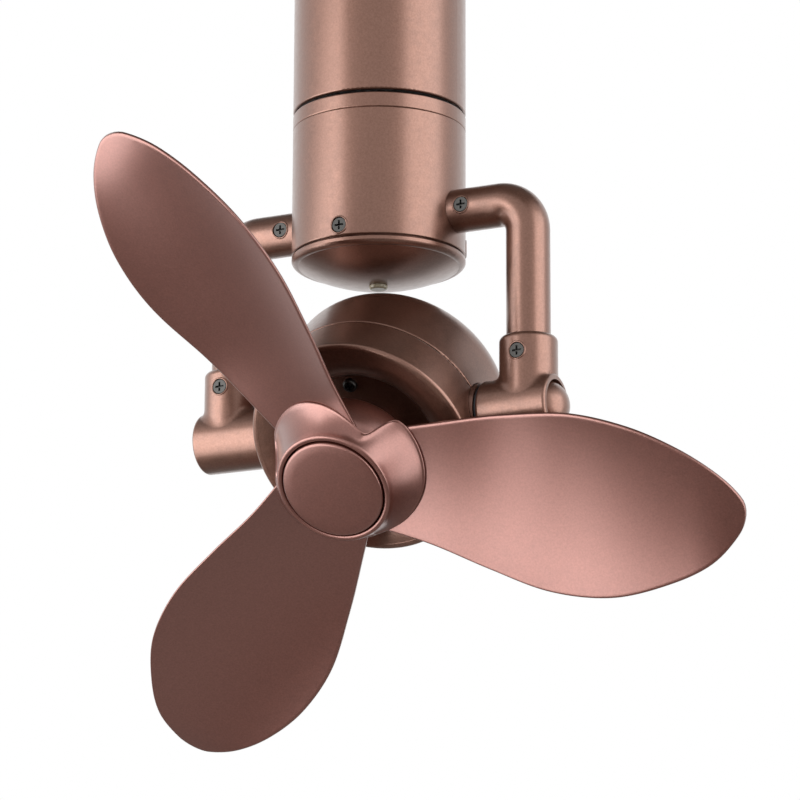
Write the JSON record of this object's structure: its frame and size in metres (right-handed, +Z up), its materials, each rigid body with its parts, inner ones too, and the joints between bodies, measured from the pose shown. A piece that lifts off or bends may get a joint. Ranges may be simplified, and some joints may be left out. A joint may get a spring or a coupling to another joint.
{
  "type": "ceiling fan",
  "caption": "Ceiling fan whose drum motor tilts in a forked tube yoke below a short column that swings, with a bladed propeller and a domed column cap.",
  "frame": {"origin": "on the ceiling plane, at the column's axis", "axes": "+Z up into the ceiling, the fan faces -Y, the tilt axis runs along X"},
  "size_m": [0.344, 0.2361, 0.4209],
  "materials": {
    "bronze_paint": "satin copper-bronze metallic paint",
    "bronze_moulding": "satin copper-bronze metallic paint on moulded plastic",
    "zinc_steel": "zinc plated",
    "bearing_steel": "ground",
    "dark_screw": "black nickel",
    "gear_plastic": "moulded acetal",
    "nylon": "moulded nylon",
    "motor_can": "drawn can",
    "cast_aluminium": "die cast",
    "lamination": "stacked electrical steel",
    "copper_wire": "enamelled wire",
    "circuit_board": "solder mask",
    "sensor_plastic": "smoky moulded lens"
  },
  "bodies": {
    "ceiling_side": {"ceiling_plate": "zinc_steel", "upper_housing": "bronze_paint", "housing_screws": "dark_screw", "tie_studs": "zinc_steel", "carrier_plate": "zinc_steel", "spindle": "zinc_steel", "terminal_block": "nylon", "swivel_bearing_inner": "bearing_steel", "spindle_nut": "zinc_steel", "sun_gear": "gear_plastic"},
    "swivel": {"swivel_bearing_outer": "bearing_steel", "swivel_bearing_balls": "bearing_steel", "swing_motor": "motor_can", "motor_pillars": "zinc_steel", "swing_motor_screws": "zinc_steel", "swivel_lid": "bronze_paint", "lower_housing": "bronze_paint", "bottom_cap": "bronze_paint", "cap_screws": "dark_screw", "sensor_lens": "sensor_plastic", "control_board": "circuit_board", "arm_spigot_left": "zinc_steel", "arm_spigot_right": "zinc_steel", "arm_left": "bronze_paint", "arm_right": "bronze_paint", "tee_left": "bronze_paint", "tee_right": "bronze_paint", "bush_left": "nylon", "bush_right": "nylon", "pivot_cap_left": "bronze_paint", "pivot_cap_right": "bronze_paint", "arm_screws": "dark_screw", "tee_screws": "dark_screw"},
    "pinion": {"drive_pinion": "gear_plastic"},
    "head": {"trunnion_left": "bronze_paint", "trunnion_right": "bronze_paint", "friction_washers": "zinc_steel", "disc_springs": "zinc_steel", "pivot_nuts": "zinc_steel", "front_cover": "bronze_paint", "front_screws": "dark_screw", "rear_cover": "bronze_paint", "rear_screws": "dark_screw", "motor_frame": "cast_aluminium", "front_bracket": "cast_aluminium", "rear_bracket": "cast_aluminium", "front_bearing": "bearing_steel", "rear_bearing": "bearing_steel", "stator_core": "lamination", "stator_coils": "copper_wire"},
    "rotor": {"motor_shaft": "zinc_steel", "rotor_core": "lamination", "blade_hub": "bronze_moulding", "hub_clamp": "bronze_moulding", "blade_screws": "zinc_steel", "hub_nut": "zinc_steel", "hub_cap": "bronze_moulding", "blade_1": "bronze_moulding", "blade_2": "bronze_moulding", "blade_3": "bronze_moulding"}
  },
  "joints": [
    {"name": "swing", "type": "hinge", "parent": "ceiling_side", "child": "swivel", "pos_m": [0, 0, -0.118], "axis": [0, 0, 1], "range_deg": [-90, 90]},
    {"name": "pinion_spin", "type": "hinge", "parent": "swivel", "child": "pinion", "pos_m": [0, 0.02425, -0.1297], "axis": [0, 0, 1], "range_deg": [-275, 275]},
    {"name": "tilt", "type": "hinge", "parent": "swivel", "child": "head", "pos_m": [0, 0, -0.2726], "axis": [1, 0, 0], "range_deg": [-31, 48]},
    {"name": "spin", "type": "hinge", "parent": "head", "child": "rotor", "pos_m": [0, 0, -0.2726], "axis": [0, -0.747, -0.6648], "continuous": true}
  ],
  "couplings": [
    {"joint": "pinion_spin", "follows": "swing", "ratio": 3}
  ]
}
